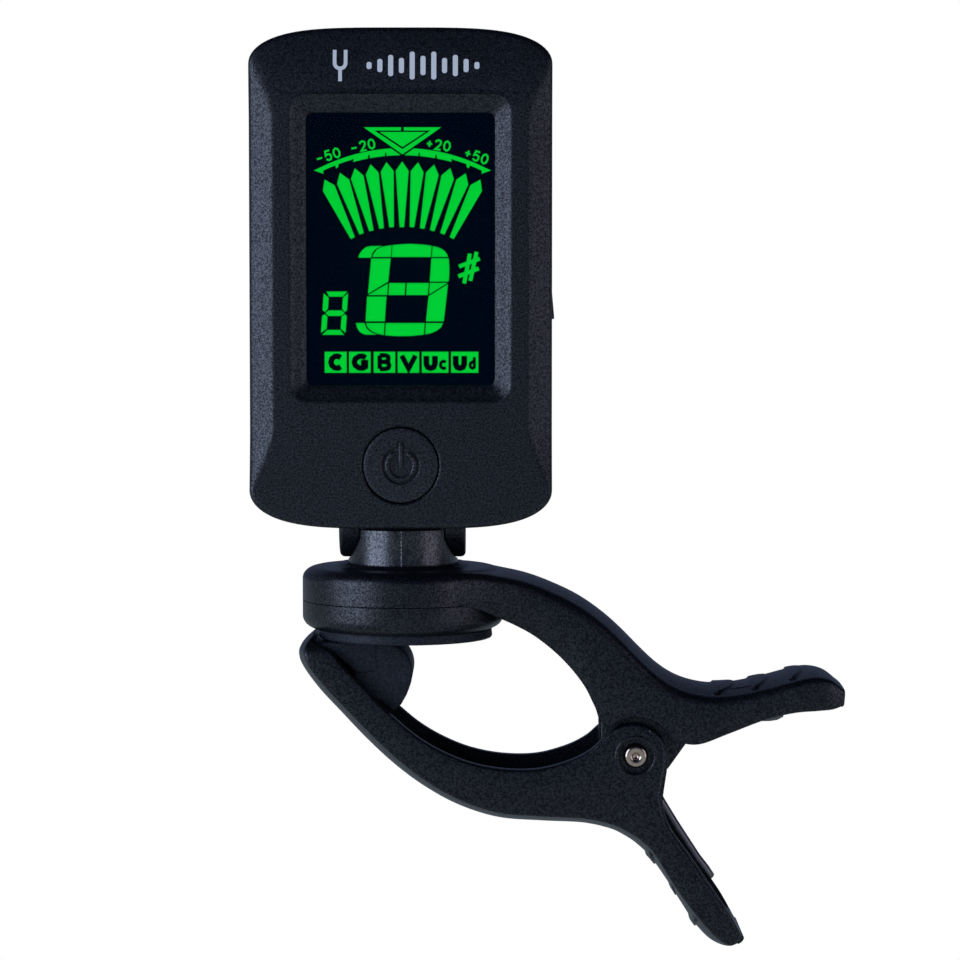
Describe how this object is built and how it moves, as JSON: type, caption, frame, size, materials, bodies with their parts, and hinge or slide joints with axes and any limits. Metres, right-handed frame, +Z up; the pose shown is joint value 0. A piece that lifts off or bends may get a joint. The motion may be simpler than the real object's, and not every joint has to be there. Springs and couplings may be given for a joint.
{
  "type": "clip on tuner",
  "caption": "Clip-on instrument tuner: upright display head on a tilting, swivelling neck above a curved spring clip with round rubber-padded jaws and ribbed handles.",
  "frame": {"origin": "centre of the fixed upper jaw pad's gripping face, on the swivel axis", "axes": "+Z up along the swivel axis towards the head, +X from the swivel towards the clip's handles, the display faces -Y"},
  "size_m": [0.0596, 0.0204, 0.0928],
  "materials": {
    "shell_black": "fine spark-eroded texture, black ABS",
    "clip_black": "semi-gloss moulded black ABS",
    "button_black": "fine texture, black",
    "lens_clear": "smoked clear acrylic",
    "lcd_dark": "dark display glass",
    "segment_green": "lit green display segments",
    "light_guide": "clear to milky light guide",
    "zebra_rubber": "conductive elastomer",
    "board_green": "green solder mask",
    "chip_black": "epoxy black",
    "switch_metal": "thin pressed steel",
    "plunger_cream": "cream nylon",
    "print_pale_blue": "pale blue pad print",
    "brass": "rolled brass",
    "ceramic_white": "fired silver-white ceramic",
    "lead_insulation": "insulated wire",
    "cell_steel": "brushed cell can",
    "contact_nickel": "nickel-plated strip",
    "screw_steel": "zinc-plated",
    "pin_steel": "turned steel",
    "washer_steel": "zinc-plated",
    "spring_steel": "bright spring wire",
    "pad_rubber": "soft black rubber"
  },
  "bodies": {
    "clip_upper": {"upper_arm": "clip_black", "pad_seat": "clip_black", "pad_seat_screws": "screw_steel", "upper_pad": "pad_rubber", "pivot_pin": "pin_steel", "pivot_retainer": "spring_steel", "torsion_spring": "spring_steel"},
    "clip_lower": {"lower_arm": "clip_black", "lower_pad": "pad_rubber"},
    "neck": {"swivel_post": "clip_black", "wave_washer": "spring_steel", "swivel_washer": "washer_steel", "swivel_screw": "screw_steel"},
    "head": {"front_shell": "shell_black", "rear_shell": "shell_black", "display_lens": "lens_clear", "lcd_panel": "lcd_dark", "segment_film": "segment_green", "backlight_panel": "light_guide", "elastomer_strip": "zebra_rubber", "circuit_board": "board_green", "board_components": "chip_black", "tact_switch": "switch_metal", "front_emblem": "print_pale_blue", "piezo_disc": "brass", "piezo_ceramic": "ceramic_white", "piezo_leads": "lead_insulation", "coin_cell": "cell_steel", "battery_contact_positive": "contact_nickel", "battery_contact_negative": "contact_nickel", "case_screws": "screw_steel", "hinge_pin": "pin_steel"},
    "button": {"power_button": "button_black", "switch_plunger": "plunger_cream"},
    "door": {"battery_door": "shell_black"}
  },
  "joints": [
    {"name": "clip_open", "type": "hinge", "parent": "clip_upper", "child": "clip_lower", "pos_m": [0.02353, 0, -0.0115], "axis": [0, -1, 0], "range_deg": [0, 50], "stiffness_Nm_per_rad": 0.05, "springref_deg": -51.57, "deforming": ["torsion_spring"]},
    {"name": "swivel", "type": "hinge", "parent": "clip_upper", "child": "neck", "pos_m": [0, 0, 0.007], "axis": [0, 0, 1], "continuous": true},
    {"name": "head_tilt", "type": "hinge", "parent": "neck", "child": "head", "pos_m": [0, 0, 0.0119], "axis": [1, 0, 0], "range_deg": [-75, 15]},
    {"name": "button_press", "type": "slide", "parent": "head", "child": "button", "axis": [0, 1, 0], "range_m": [0, 0.00035], "stiffness_N_per_m": 10, "springref_m": -0.002},
    {"name": "door_slide", "type": "slide", "parent": "head", "child": "door", "axis": [0, 0, 1], "range_m": [0, 0.025]}
  ]
}
